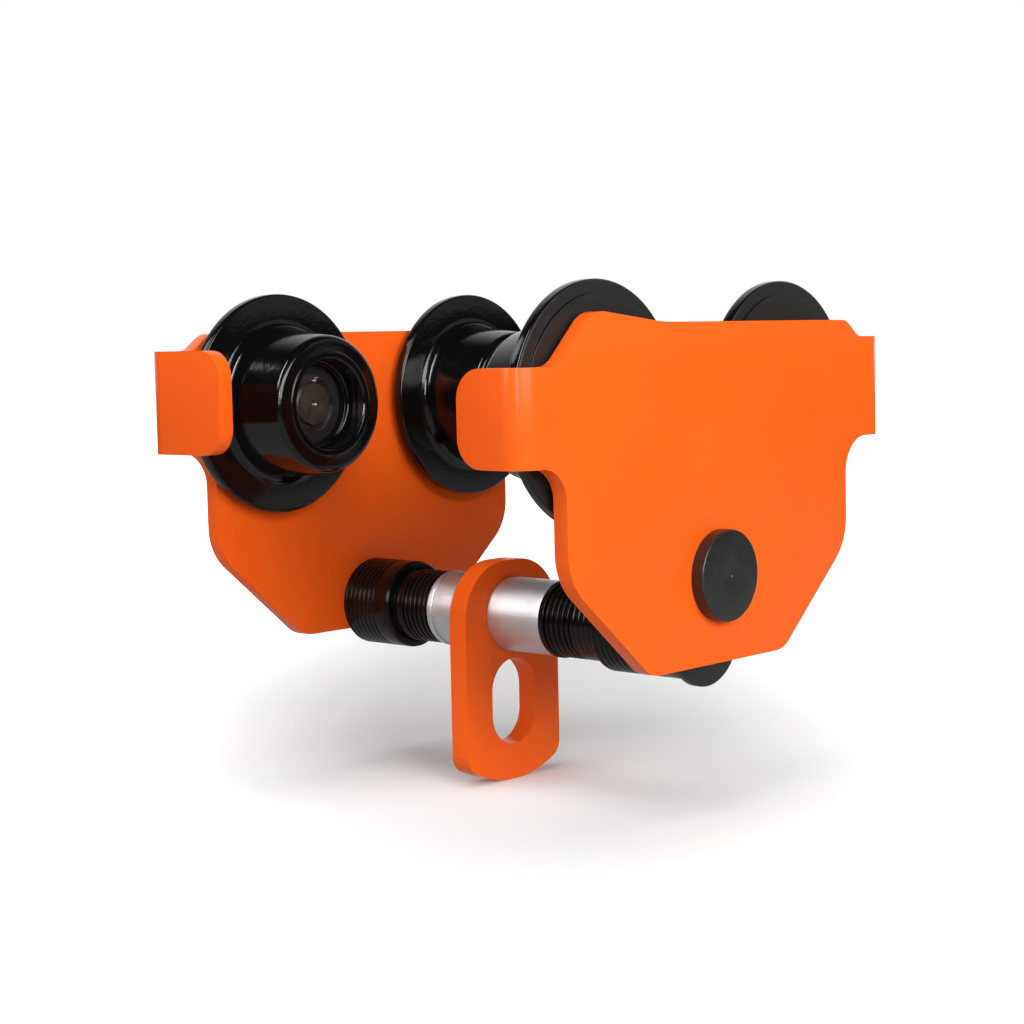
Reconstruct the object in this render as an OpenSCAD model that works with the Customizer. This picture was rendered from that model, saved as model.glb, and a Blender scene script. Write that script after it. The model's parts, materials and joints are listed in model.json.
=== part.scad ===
// Manual beam trolley. Four flanged wheels on two side plates roll on the lower flange of a beam.
// A spindle with a left and a right thread draws the plates together and carries the load hanger.
// X runs across the beam, Y along it and Z up. The origin lies on the beam's centre line,
// at the height where the wheel treads roll, midway between the front and rear axles.

/* [Setting] */
// Distance between the inner faces of the two side plates
plate_gap = 202; // [196:1:210]
// Distance between the front and the rear axle
wheel_base = 126; // [120:1:140]
// Depth of the spindle's axis below the running level
spindle_drop = 64; // [60:1:72]

/* [Wheels] */
// Diameter of the wheel flange
flange_d = 100; // [94:1:106]
// Thickness of the wheel flange at its rim
flange_t = 6.5; // [5:0.5:8]
// Diameter of the tread where it meets the flange
tread_root_d = 68; // [64:1:74]
// Diameter of the tread at its free end
tread_end_d = 61; // [57:1:62]
// Length of the wheel along its axle
wheel_len = 39.5; // [37:0.5:44]
// Gap between the wheel and the side plate
wheel_gap = 2.5; // [1.5:0.5:4]
// Fillet between the tread and the flange
root_fillet = 5; // [2:0.5:6]
// Rounding of the tread's free end
tread_round = 3; // [1:0.5:4]
// Width of the lowered ring round the back of the flange
rim_step_w = 5.5; // [3:0.5:8]
// Depth of the lowered ring round the back of the flange
rim_step = 1; // [0.5:0.25:1.5]
// Height of the lip between the wheel's open mouth and its bearing
bearing_lip = 1; // [0.5:0.25:2.5]
// Depth of the mouth, down to the bearing
mouth_depth = 14; // [12:0.5:16]
// Rounding of the flange's rim
rim_round = 1.2; // [0.6:0.1:1.6]
// Chamfer on the edge of the mouth
mouth_chamfer = 0.8; // [0.4:0.1:1.5]

/* [Wheel bearings] */
// Outside diameter of the ball bearing
bearing_od = 42; // [42:0.5:44]
// Bore of the ball bearing, and diameter of the axle in it
bearing_bore = 20; // [18:0.5:20.5]
// Width of the ball bearing
bearing_w = 12; // [11:0.5:13]
// Wall of each race beside its groove, as a share of the height from bore to outside
race_share = 0.291; // [0.25:0.001:0.31]
// Diameter of a bearing ball, as a share of the same height
ball_share = 0.5773; // [0.5:0.0001:0.59]
// Number of balls in a bearing
ball_count = 9; // [7:1:10]
// Radial width of the ball cage
cage_w = 2.4; // [1.8:0.1:2.8]
// Thickness of a bearing seal
seal_t = 0.9; // [0.6:0.1:1.2]
// Depth of a seal's seat in the outer race
seal_seat = 0.5; // [0.3:0.1:0.8]
// Distance of a seal below the bearing's end face
seal_inset = 0.3; // [0.2:0.05:0.5]
// Width of the cage beyond its balls, on each side
cage_edge = 0.5; // [0.4:0.1:0.8]

/* [Axles and circlips] */
// Diameter of the axle's shoulder between plate and bearing
shoulder_d = 26; // [25:0.5:28]
// Depth of the axle's seat in the side plate
axle_seat = 5.5; // [4:0.5:6]
// Thickness of the circlip on the axle
axle_clip_t = 1.2; // [1:0.1:1.6]
// Radial width of the circlip on the axle
axle_clip_w = 3; // [2:0.1:3.2]
// Depth of the groove in the axle
axle_groove = 0.6; // [0.4:0.1:1]
// Length of the axle past its circlip
axle_land = 1.1; // [0.8:0.1:2]
// Thickness of the circlip in the wheel bore
bore_clip_t = 1.5; // [1.2:0.1:1.8]
// Radial width of the circlip in the wheel bore
bore_clip_w = 4; // [3:0.1:4.5]
// Depth of the groove in the wheel bore
bore_groove = 1; // [0.6:0.1:1.4]
// Angle of the opening in a circlip
clip_open = 34; // [24:1:50]
// Angle from the edge of the opening to the middle of a circlip's lug
lug_angle = 5; // [3:1:8]
// Chamfer on the tip of the axle
tip_chamfer = 0.6; // [0.4:0.1:1]
// Depth and radius of the lathe's centre mark in the tip of the axle
centre_mark = 1.6; // [1:0.1:2]

/* [Side plates] */
// Thickness of the plate and of its bent tabs
plate_t = 7; // [6:0.5:8]
// Width of the plate below its tabs
plate_w = 192; // [184:1:196]
// Height of the plate's top edge above the axles
plate_rise = 32.5; // [29:0.5:36]
// Distance from the spindle's axis down to the plate's bottom edge
plate_foot = 12; // [8:0.5:16]
// Length of the straight bottom edge, measured between its corners
foot_w = 92; // [80:1:104]
// Height of the slanted lower edges
slant_h = 43; // [36:1:50]
// Rounding where the slanted edge meets the upright edge
slant_round = 25; // [15:1:30]
// Rounding where the slanted edge meets the bottom edge
foot_round = 14; // [8:1:18]
// Rise of the raised corner over the low tab
hump_rise = 5; // [2:0.5:7]
// Distance from the plate's middle to the raised corner
hump_y = 78; // [74:1:82]
// Distance from the plate's middle to the start of the rise
hump_start = 35; // [25:1:45]
// Rounding of the raised corner
hump_round = 14; // [8:1:16]
// Rounding at the start of the rise
rise_round = 90; // [40:5:120]
// Rounding where the raised corner's slope meets the low tab
slope_round = 12; // [6:1:14]
// Distance from the plate's edge to the outer end of the shoulder beside the high tab
shoulder_out = 11; // [9:0.5:13]
// Distance from the plate's edge to the inner end of that shoulder
shoulder_in = 1; // [0:0.5:2]
// Rounding at the inner end of the shoulder
shoulder_round = 9; // [5:0.5:10]
// Rounding at the outer end of the shoulder
shoulder_fillet = 7; // [3:0.5:8]

/* [Tabs] */
// Outer radius of the bend between plate and tab
bend_r = 10; // [9:0.5:12]
// Gap between a wheel flange and the low tab
low_gap = 1.5; // [1.2:0.1:3]
// Height of the low tab's top edge above the axles
low_top = 16; // [13:0.5:18]
// Depth of the low tab's bottom edge below the axles
low_bottom = 22.5; // [18:0.5:25]
// Reach of the low tab inwards from the plate's outer face
low_reach = 33; // [30:1:45]
// Gap between a wheel flange and the high tab
high_gap = 8; // [5:0.5:10]
// Height of the high tab's top edge above the axles
high_top = 25; // [22:0.5:27]
// Depth of the high tab's bottom edge below the axles
high_bottom = 20; // [16:0.5:24]
// Reach of the high tab inwards from the plate's outer face
high_reach = 50; // [36:1:51]
// Rounding of a tab's free corners
tab_round = 12; // [6:0.5:14]
// Rounding below the low tab
low_fillet = 13; // [8:0.5:14]
// Rounding below the high tab
high_fillet = 16; // [8:0.5:18]

/* [Spindle] */
// Diameter of the threaded ends of the spindle
thread_d = 34; // [32:0.5:36]
// Diameter of the plain core of the spindle
core_d = 24; // [22:0.5:26]
// Room beyond each end of the spindle, for drawing the plates together
spindle_room = 12.5; // [12.5:0.5:15]
// Diameter of the pin through the right threaded bush
pin_d = 5; // [4:0.5:6]
// Distance from the bush's inner face to its pin
pin_inset = 6; // [4:0.5:8]
// Depth of each end of the pin below the thread's crest
pin_sink = 1.5; // [1:0.1:2]
// Chamfer on the ends of the threads
thread_chamfer = 1.5; // [1:0.1:2]
// Depth and radius of the centre holes in the spindle's ends
centre_hole = 3; // [2:0.5:4]

/* [Sleeve and washers] */
// Diameter of the bright sleeve that the hanger hangs on
sleeve_d = 34; // [32:0.5:36]
// Length of the bright sleeve
sleeve_len = 66; // [56:1:72]
// Place of the sleeve's middle across the beam
sleeve_x = -12; // [-16:1:-6]
// Thickness of the washer at each end of the sleeve
washer_t = 3; // [2:0.5:4]
// Diameter of the washers
washer_d = 35; // [33:0.5:37]

/* [Nuts] */
// Outside diameter of the threaded barrels on the plates
barrel_d = 41; // [39:0.5:44]
// Length of the left threaded barrel
left_barrel_len = 30; // [26:0.5:34]
// Length of the right threaded barrel
right_barrel_len = 44; // [38:0.5:46]
// Chamfer on the free end of a barrel
barrel_chamfer = 1.2; // [0.6:0.1:2]
// Diameter of the disc that closes the right barrel at the side plate
disc_d = 45.6; // [43:0.2:48]
// Thickness of the closing disc
disc_t = 4; // [3:0.5:5]
// Chamfer on the closing disc
disc_chamfer = 0.8; // [0.4:0.1:1.2]

/* [Hanger] */
// Thickness of the hanger
hanger_t = 10; // [8:0.5:12]
// Place of the hanger's middle across the beam
hanger_x = -15; // [-22:1:-4]
// Width of the hanger
hanger_w = 62; // [58:1:68]
// Height of the hanger's top above the spindle's axis
hanger_top = 24.8; // [23.5:0.1:26]
// Rounding of the hanger's upper corners
hanger_top_round = 26; // [20:1:27]
// Depth of the hanger's lowest point below the spindle's axis
hanger_bottom = 76.5; // [74:0.5:84]
// Radius of the hanger's bottom edge
hanger_bottom_r = 58; // [50:1:70]
// Rounding of the hanger's lower corners
hanger_bottom_round = 8; // [5:0.5:10]
// Width of the load slot
slot_w = 29; // [24:0.5:31]
// Height of the load slot
slot_h = 39.5; // [36:0.5:42]
// Web left between the spindle's bore and the load slot
slot_web = 3.5; // [2.5:0.5:6]

/* [Plug] */
// Diameter of the head of the plug in the right plate
plug_d = 38.6; // [34:0.2:42]
// Thickness of the plug's head
plug_head = 6; // [4:0.5:8]
// Diameter of the plug's shank
plug_shank_d = 24; // [20:1:28]
// Height of the plug's axis above the spindle's axis
plug_rise = 25; // [23:1:30]
// Chamfer on the plug's head
plug_chamfer = 0.8; // [0.4:0.1:1.2]

/* [Fits] */
// Radial clearance of the spindle in the sleeve and the barrels
run_fit = 0.05; // [0.03:0.01:0.08]
// Radial clearance of the hanger on the sleeve
hanger_fit = 0.1; // [0.05:0.01:0.1]
// End play of the spindle between the sleeve's washers
end_play = 0.15; // [0.1:0.05:0.3]
// Clearance between balls and grooves, and between seals and inner race
ball_fit = 0.12; // [0.08:0.01:0.2]

/* [Hidden] */
SIDES = ["right", "left"];
ENDS = ["front", "rear"];
paint_orange = [0.95, 0.36, 0.08];
oxide_black = [0.09, 0.09, 0.10];
gloss_black = [0.05, 0.05, 0.05];
bright_steel = [0.74, 0.74, 0.74];
turned_steel = [0.46, 0.42, 0.39];
seal_black = [0.14, 0.14, 0.15];
$fn = 96;
// Cuts run past a face by this much
cut = 1;
// Straight length that is kept between two roundings
kept = 0.5;
// An arc stays this much inside its edges, so that it crosses its chord cleanly
hair = 0.005;
axle_z = tread_root_d / 2;
spindle_z = -spindle_drop;
plate_in = plate_gap / 2;
plate_out = plate_in + plate_t;
spindle_left = spindle_room - plate_in;
spindle_right = plate_in - disc_t - spindle_room;
plate_top = axle_z + plate_rise;
plate_bottom = spindle_z - plate_foot;
wheel_reach = wheel_base / 2 + flange_d / 2;
// Places along the axle are measured inwards from the plate's inner face
wheel_end = wheel_gap + wheel_len;
bearing_end = wheel_end - mouth_depth;
bearing_start = bearing_end - bearing_w;
axle_tip = bearing_end + axle_clip_t + axle_land;
section = (bearing_od - bearing_bore) / 2;
race_wall = race_share * section;
ball_d = ball_share * section;
mouth_r = bearing_od / 2 - bearing_lip;
pitch_r = (bearing_od + bearing_bore) / 4;
groove_r = ball_d / 2 + ball_fit;
inner_land_r = bearing_bore / 2 + race_wall;
outer_land_r = bearing_od / 2 - race_wall;
seal_seat_t = seal_t + seal_inset;
tab_turn = plate_out - bend_r;
bend_in = bend_r - plate_t;
low_y = wheel_reach + low_gap + plate_t;
high_y = wheel_reach + high_gap + plate_t;
sleeve_left = sleeve_x - sleeve_len / 2;
sleeve_right = sleeve_x + sleeve_len / 2;
thread_left = sleeve_left - washer_t - end_play;
thread_right = sleeve_right + washer_t + end_play;
slot_top = spindle_z - sleeve_d / 2 - hanger_fit - slot_web;
slot_bottom = slot_top - slot_h;

// A side's own frame is that of the right side; the left side is the right one turned half round
function side_turn(side) = side == "left" ? 180 : 0;
// Each side's front axle lies at -Y, also on the side that is turned
function end_y(side, end) = ((side == "left") == (end == "front") ? 1 : -1) * wheel_base / 2;

// Corner helpers: a corner is [across, up, rounding], listed anticlockwise
function xy(p) = [p[0], p[1]];
function way(a, b) = (xy(b) - xy(a)) / norm(xy(b) - xy(a));
function bend_of(a, b, c) = cross(way(a, b), way(b, c));
function half_angle(a, b, c) = acos(max(-1, min(1, way(b, a) * way(b, c)))) / 2;
function setback(a, b, c) = b[2] / tan(half_angle(a, b, c));
function fillet_centre(a, b, c) = let (m = way(b, a) + way(b, c))
    xy(b) + m / norm(m) * b[2] / sin(half_angle(a, b, c));
function prev(list, i) = list[(i + len(list) - 1) % len(list)];
function next(list, i) = list[(i + 1) % len(list)];

// The slice of a disc that rounds a corner. It ends just past the tangent points, a hair inside the edges
module corner_slice(a, b, c) {
    centre = fillet_centre(a, b, c);
    spread = 90 - half_angle(a, b, c) + kept / 2 / b[2] * 180 / PI;
    far = 2 * b[2];
    translate(centre) rotate(atan2(b[1] - centre[1], b[0] - centre[0])) intersection() {
        circle(b[2] - hair);
        polygon([[0, 0], [far, -far * tan(spread)], [far, far * tan(spread)]]);
    }
}

// Closed outline with a true arc at each corner that has a rounding
module rounded(corners) {
    count = len(corners);
    bends = [for (i = [0 : count - 1])
        let (a = prev(corners, i), b = corners[i], c = next(corners, i))
        b[2] == 0 ? 0 : bend_of(a, b, c)];
    straight = [for (i = [0 : count - 1])
        let (a = prev(corners, i), b = corners[i], c = next(corners, i), back = setback(a, b, c))
        each b[2] == 0 ? [xy(b)] : [xy(b) + way(b, a) * back, xy(b) + way(b, c) * back]];
    difference() {
        union() {
            polygon(straight);
            for (i = [0 : count - 1]) if (bends[i] > 0)
                corner_slice(prev(corners, i), corners[i], next(corners, i));
        }
        for (i = [0 : count - 1]) if (bends[i] < 0)
            corner_slice(prev(corners, i), corners[i], next(corners, i));
    }
}

// Stands a drawing of (Y, Z) up and gives it a thickness along +X
module across(x, thick) {
    translate([x, 0, 0]) rotate([90, 0, 90]) linear_extrude(thick) children();
}

// Lays a shape that grows along +Z so that it grows along +X from x
module along_x(x, y = 0, z = 0) {
    translate([x, y, z]) rotate([0, 90, 0]) children();
}

// Places a shape in a side's frame
module at_side(side) {
    rotate([0, 0, side_turn(side)]) children();
}

// Places a shape at an axle, growing inwards from the plate's inner face along its own +Z
module at_axle(side, end) {
    at_side(side) translate([plate_in, end_y(side, end), axle_z]) rotate([0, -90, 0]) children();
}

module tube(outer_r, inner_r, length) {
    difference() {
        cylinder(r = outer_r, h = length);
        translate([0, 0, -cut]) cylinder(r = inner_r, h = length + 2 * cut);
    }
}

// The plate's flat outline, with the low tab at -Y and the high tab at +Y
module plate_outline() {
    low_flat = low_y - bend_r;
    high_flat = high_y - bend_r;
    half = plate_w / 2;
    rounded([
        [-foot_w / 2, plate_bottom, foot_round],
        [foot_w / 2, plate_bottom, foot_round],
        [half, plate_bottom + slant_h, slant_round],
        [half, axle_z - high_bottom, min(high_fillet, high_flat - half - kept)],
        [high_flat, axle_z - high_bottom, 0],
        [high_flat, axle_z + high_top, 0],
        [half + shoulder_out, axle_z + high_top, shoulder_fillet],
        [half + shoulder_in, plate_top, shoulder_round],
        [-hump_start, plate_top, rise_round],
        [-hump_y, plate_top + hump_rise, hump_round],
        [-hump_y - (plate_rise + hump_rise - low_top), axle_z + low_top, slope_round],
        [-low_flat, axle_z + low_top, 0],
        [-low_flat, axle_z - low_bottom, 0],
        [-half, axle_z - low_bottom, min(low_fillet, low_flat - half - kept)],
        [-half, plate_bottom + slant_h, slant_round]
    ]);
}

// One tab: the quarter bend and the flat that reaches in towards the beam, on the +Y edge
module tab(outer_y, bottom, top, reach) {
    turn_y = outer_y - bend_r;
    tall = top - bottom;
    translate([tab_turn, turn_y, bottom]) intersection() {
        tube(bend_r, bend_in, tall);
        cube([bend_r + cut, bend_r + cut, tall]);
    }
    translate([0, outer_y, 0]) rotate([90, 0, 0]) linear_extrude(plate_t) rounded([
        [plate_out - reach, bottom, tab_round],
        [tab_turn, bottom, 0],
        [tab_turn, top, 0],
        [plate_out - reach, top, tab_round]
    ]);
}

module side_plate(side) {
    color(paint_orange) at_side(side) difference() {
        union() {
            across(plate_in, plate_t) plate_outline();
            tab(high_y, axle_z - high_bottom, axle_z + high_top, high_reach);
            mirror([0, 1, 0]) tab(low_y, axle_z - low_bottom, axle_z + low_top, low_reach);
        }
        for (end = ENDS) along_x(plate_in - cut, end_y(side, end), axle_z)
            cylinder(d = bearing_bore, h = axle_seat + cut);
        if (side == "right") along_x(plate_in - cut, 0, spindle_z + plug_rise)
            cylinder(d = plug_shank_d, h = plate_t + 2 * cut);
    }
}

// Threaded barrel that grows inwards from its seat, at this depth below the plate's inner face
module barrel_nut(side, length, seat) {
    inner_r = thread_d / 2 + run_fit;
    outer_r = barrel_d / 2;
    color(oxide_black) at_side(side) translate([plate_in - seat, 0, spindle_z]) rotate([0, -90, 0])
        rotate_extrude() polygon([
            [inner_r, 0],
            [outer_r, 0],
            [outer_r, length - barrel_chamfer],
            [outer_r - barrel_chamfer, length],
            [inner_r, length]
        ]);
}

// Disc between the right plate and its barrel, which it closes
module closing_disc() {
    outer_r = disc_d / 2;
    color(oxide_black) along_x(plate_in - disc_t, 0, spindle_z) rotate_extrude() polygon([
        [0, 0],
        [outer_r - disc_chamfer, 0],
        [outer_r, disc_chamfer],
        [outer_r, disc_t],
        [0, disc_t]
    ]);
}

// Headed plug that closes the hole of the geared version in the right plate
module drive_hole_plug() {
    head_r = plug_d / 2;
    face = plate_t + plug_head;
    color(oxide_black) along_x(plate_in, 0, spindle_z + plug_rise) rotate_extrude() polygon([
        [0, 0],
        [plug_shank_d / 2, 0],
        [plug_shank_d / 2, plate_t],
        [head_r, plate_t],
        [head_r, face - plug_chamfer],
        [head_r - plug_chamfer, face],
        [0, face]
    ]);
}

// Axle: tenon in the plate's blind seat, shoulder up to the bearing, journal with its circlip groove
module axle(side, end) {
    tenon_r = bearing_bore / 2;
    color(turned_steel) at_axle(side, end) rotate_extrude() polygon([
        [0, -axle_seat],
        [tenon_r, -axle_seat],
        [tenon_r, 0],
        [shoulder_d / 2, 0],
        [shoulder_d / 2, bearing_start],
        [tenon_r, bearing_start],
        [tenon_r, bearing_end],
        [tenon_r - axle_groove, bearing_end],
        [tenon_r - axle_groove, bearing_end + axle_clip_t],
        [tenon_r, bearing_end + axle_clip_t],
        [tenon_r, axle_tip - tip_chamfer],
        [tenon_r - tip_chamfer, axle_tip],
        [centre_mark, axle_tip],
        [0, axle_tip - centre_mark]
    ]);
}

// Open ring with a round lug at each side of its opening
module circlip(inner_r, outer_r, thick, lug_r, lug_place) {
    tip = outer_r * 2;
    linear_extrude(thick) {
        difference() {
            circle(outer_r);
            circle(inner_r);
            polygon([[0, 0], [tip, -tip * tan(clip_open / 2)], [tip, tip * tan(clip_open / 2)]]);
        }
        for (lug = [-1, 1]) rotate(lug * (clip_open / 2 + lug_angle)) translate([lug_place, 0])
            circle(lug_r);
    }
}

module axle_clip(side, end) {
    inner_r = bearing_bore / 2 - axle_groove;
    outer_r = inner_r + axle_clip_w;
    color(oxide_black) at_axle(side, end) translate([0, 0, bearing_end])
        circlip(inner_r, outer_r, axle_clip_t, axle_clip_w / 2, (inner_r + outer_r) / 2);
}

module bore_clip(side, end) {
    outer_r = bearing_od / 2 + bore_groove;
    inner_r = outer_r - bore_clip_w;
    color(oxide_black) at_axle(side, end) translate([0, 0, bearing_start - bore_clip_t])
        circlip(inner_r, outer_r, bore_clip_t, bore_clip_w / 2, (inner_r + outer_r) / 2);
}

// Wheel profile as (radius, distance from the plate), before its stepped bore is cut
module wheel_profile() {
    flange_r = flange_d / 2;
    root_r = tread_root_d / 2;
    end_r = tread_end_d / 2;
    flange_face = wheel_gap + flange_t;
    rounded([
        [mouth_r, wheel_gap, 0],
        [flange_r - rim_step_w, wheel_gap, 0],
        [flange_r - rim_step_w, wheel_gap + rim_step, 0],
        [flange_r, wheel_gap + rim_step, rim_round],
        [flange_r, flange_face, rim_round],
        [root_r, flange_face, root_fillet],
        [end_r, wheel_end, tread_round],
        [mouth_r + mouth_chamfer, wheel_end, 0],
        [mouth_r, wheel_end - mouth_chamfer, 0]
    ]);
}

module wheel(side, end) {
    color(gloss_black) at_axle(side, end) difference() {
        rotate_extrude() wheel_profile();
        translate([0, 0, wheel_gap - cut]) cylinder(d = bearing_od, h = bearing_end - wheel_gap + cut);
        translate([0, 0, bearing_start - bore_clip_t])
            cylinder(r = bearing_od / 2 + bore_groove, h = bore_clip_t);
    }
}

// Outer race: ball groove in the middle, a seal's seat at each end
module outer_race(side, end) {
    middle = bearing_start + bearing_w / 2;
    seat_r = outer_land_r + seal_seat;
    color(bright_steel) at_axle(side, end) rotate_extrude() difference() {
        polygon([
            [seat_r, bearing_start],
            [bearing_od / 2, bearing_start],
            [bearing_od / 2, bearing_end],
            [seat_r, bearing_end],
            [seat_r, bearing_end - seal_seat_t],
            [outer_land_r, bearing_end - seal_seat_t],
            [outer_land_r, bearing_start + seal_seat_t],
            [seat_r, bearing_start + seal_seat_t]
        ]);
        translate([pitch_r, middle]) circle(groove_r);
    }
}

module inner_race(side, end) {
    middle = bearing_start + bearing_w / 2;
    color(bright_steel) at_axle(side, end) rotate_extrude() difference() {
        translate([bearing_bore / 2, bearing_start]) square([race_wall, bearing_w]);
        translate([pitch_r, middle]) circle(groove_r);
    }
}

// The two seals of a bearing, one at each end of its outer race
module seals(side, end) {
    inner_r = inner_land_r + ball_fit;
    outer_r = outer_land_r + seal_seat;
    color(seal_black) at_axle(side, end) {
        translate([0, 0, bearing_end - seal_seat_t]) tube(outer_r, inner_r, seal_t);
        translate([0, 0, bearing_start + seal_seat_t - seal_t]) tube(outer_r, inner_r, seal_t);
    }
}

// Places a shape at each ball of a bearing
module each_ball() {
    for (i = [0 : ball_count - 1]) rotate(i * 360 / ball_count)
        translate([pitch_r, 0, bearing_start + bearing_w / 2]) children();
}

module balls(side, end) {
    color(bright_steel) at_axle(side, end) each_ball() sphere(d = ball_d);
}

// Ring that keeps the balls apart, with a pocket drilled through it for each
module cage(side, end) {
    wide = ball_d + 2 * cage_edge;
    color(turned_steel) at_axle(side, end) difference() {
        translate([0, 0, bearing_start + (bearing_w - wide) / 2])
            tube(pitch_r + cage_w / 2, pitch_r - cage_w / 2, wide);
        each_ball() rotate([0, 90, 0]) cylinder(d = ball_d + ball_fit, h = 2 * cage_w, center = true);
    }
}

// Spindle in one piece: threaded left end, plain core through sleeve, hanger and right bush
module spindle() {
    thread_r = thread_d / 2;
    color(oxide_black) difference() {
        along_x(0, 0, spindle_z) rotate_extrude() polygon([
            [0, spindle_left + centre_hole],
            [centre_hole, spindle_left],
            [thread_r - thread_chamfer, spindle_left],
            [thread_r, spindle_left + thread_chamfer],
            [thread_r, thread_left],
            [core_d / 2, thread_left],
            [core_d / 2, spindle_right],
            [centre_hole, spindle_right],
            [0, spindle_right - centre_hole]
        ]);
        bush_pin_hole();
    }
}

module bush_pin_hole() {
    translate([thread_right + pin_inset, 0, spindle_z - thread_d / 2 - cut])
        cylinder(d = pin_d, h = thread_d + 2 * cut);
}

// Right threaded bush, pushed over the core after sleeve and hanger, and pinned there
module thread_bush() {
    thread_r = thread_d / 2;
    color(oxide_black) difference() {
        along_x(0, 0, spindle_z) rotate_extrude() polygon([
            [core_d / 2, thread_right],
            [thread_r, thread_right],
            [thread_r, spindle_right - thread_chamfer],
            [thread_r - thread_chamfer, spindle_right],
            [core_d / 2, spindle_right]
        ]);
        bush_pin_hole();
    }
}

module bush_pin() {
    length = thread_d - 2 * pin_sink;
    color(turned_steel) translate([thread_right + pin_inset, 0, spindle_z - length / 2])
        cylinder(d = pin_d, h = length);
}

module centre_sleeve() {
    color(bright_steel) along_x(sleeve_left, 0, spindle_z)
        tube(sleeve_d / 2, core_d / 2 + run_fit, sleeve_len);
}

module sleeve_washer(x) {
    color(x < sleeve_x ? bright_steel : oxide_black) along_x(x, 0, spindle_z)
        tube(washer_d / 2, core_d / 2 + run_fit, washer_t);
}

// Hanger: rounded top round the sleeve, straight sides, bowed bottom edge and a long load slot
module hanger_outline() {
    half = hanger_w / 2;
    top = spindle_z + hanger_top;
    bottom = spindle_z - hanger_bottom;
    bow_slope = asin((half - hanger_bottom_round / 2 - kept) / hanger_bottom_r);
    bow_tip = bottom - hanger_bottom_r * (1 / cos(bow_slope) - 1);
    low_corner = bow_tip + half * tan(bow_slope);
    rounded([
        [0, bow_tip, hanger_bottom_r],
        [half, low_corner, hanger_bottom_round],
        [half, top, hanger_top_round],
        [-half, top, hanger_top_round],
        [-half, low_corner, hanger_bottom_round]
    ]);
}

module hanger_plate() {
    end_r = slot_w / 2;
    color(paint_orange) across(hanger_x - hanger_t / 2, hanger_t) difference() {
        hanger_outline();
        translate([0, spindle_z]) circle(sleeve_d / 2 + hanger_fit);
        translate([0, slot_top - end_r]) circle(end_r);
        translate([0, slot_bottom + end_r]) circle(end_r);
        translate([-end_r, slot_bottom + end_r]) square([slot_w, slot_h - slot_w]);
    }
}

centre_sleeve();
sleeve_washer(sleeve_left - washer_t);  // sleeve_washer_left
sleeve_washer(sleeve_right);  // sleeve_washer_right
spindle();
thread_bush();
bush_pin();
hanger_plate();
side_plate("right");  // side_plate_right
side_plate("left");  // side_plate_left
barrel_nut("right", right_barrel_len, disc_t);  // barrel_nut_right
barrel_nut("left", left_barrel_len, 0);  // barrel_nut_left
closing_disc();
drive_hole_plug();
for (side = SIDES, end = ENDS) {
    place = str("_", side, "_", end);
    axle(side, end);
    inner_race(side, end);
    axle_clip(side, end);
    wheel(side, end);
    outer_race(side, end);
    bore_clip(side, end);
    seals(side, end);
    cage(side, end);
    balls(side, end);
}
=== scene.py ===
# %% [markdown]
# # A manual beam trolley
# Four flanged wheels on two orange side plates roll on the lower flange of a beam.
# A black spindle with a left and a right thread holds the plates apart, and a flat hanger
# on its bright sleeve carries the load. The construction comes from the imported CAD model,
# which stays where it is. This lesson adds the looks: turned edges, threads, paint and light.

# %% Load the frame
import json
import math

import bpy
from mathutils import Matrix, Vector

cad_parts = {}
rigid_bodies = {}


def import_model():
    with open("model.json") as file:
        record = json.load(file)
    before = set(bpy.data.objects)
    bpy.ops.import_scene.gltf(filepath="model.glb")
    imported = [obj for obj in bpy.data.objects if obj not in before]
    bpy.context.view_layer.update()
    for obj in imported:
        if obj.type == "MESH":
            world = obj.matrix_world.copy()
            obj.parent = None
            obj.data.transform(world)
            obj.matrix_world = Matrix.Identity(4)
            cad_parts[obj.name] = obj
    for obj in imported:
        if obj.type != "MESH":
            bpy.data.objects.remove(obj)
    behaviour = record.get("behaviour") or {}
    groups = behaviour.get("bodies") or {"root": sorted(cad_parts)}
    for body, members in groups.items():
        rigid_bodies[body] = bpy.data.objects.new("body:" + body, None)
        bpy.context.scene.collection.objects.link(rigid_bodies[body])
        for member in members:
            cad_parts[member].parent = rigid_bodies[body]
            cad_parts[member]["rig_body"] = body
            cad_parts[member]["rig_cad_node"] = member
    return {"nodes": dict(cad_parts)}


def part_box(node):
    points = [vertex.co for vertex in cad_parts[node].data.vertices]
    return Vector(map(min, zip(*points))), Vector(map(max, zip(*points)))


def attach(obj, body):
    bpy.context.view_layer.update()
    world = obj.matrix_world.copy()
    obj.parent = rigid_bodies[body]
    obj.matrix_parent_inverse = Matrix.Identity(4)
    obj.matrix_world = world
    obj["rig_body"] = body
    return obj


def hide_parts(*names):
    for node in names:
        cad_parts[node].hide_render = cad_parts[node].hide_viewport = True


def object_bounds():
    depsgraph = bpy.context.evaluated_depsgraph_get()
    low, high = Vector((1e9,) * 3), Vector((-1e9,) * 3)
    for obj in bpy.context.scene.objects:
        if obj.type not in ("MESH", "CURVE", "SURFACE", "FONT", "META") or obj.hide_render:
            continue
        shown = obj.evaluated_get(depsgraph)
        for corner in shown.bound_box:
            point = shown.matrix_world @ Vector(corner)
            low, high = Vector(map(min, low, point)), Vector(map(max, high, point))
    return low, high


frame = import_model()
cad_low, cad_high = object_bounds()
print("CAD box in mm", [round(1000 * v) for v in (*cad_low, *cad_high)])

# %% [markdown]
# ## Read the sizes off the frame
# Every new piece has to sit exactly where the CAD node that it stands for sits. The sizes
# could be typed in again, but then they would go wrong as soon as the CAD changes. So the
# main places are read from the boxes of the CAD nodes, in millimetres.

# %% Places on the frame
MM = 0.001
# Play between a turned piece and what it fits, in mm
PLAY = 0.05


def ends(node):
    """The lowest and highest corner of a CAD node, in millimetres."""
    low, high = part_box(node)
    return low / MM, high / MM


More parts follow.
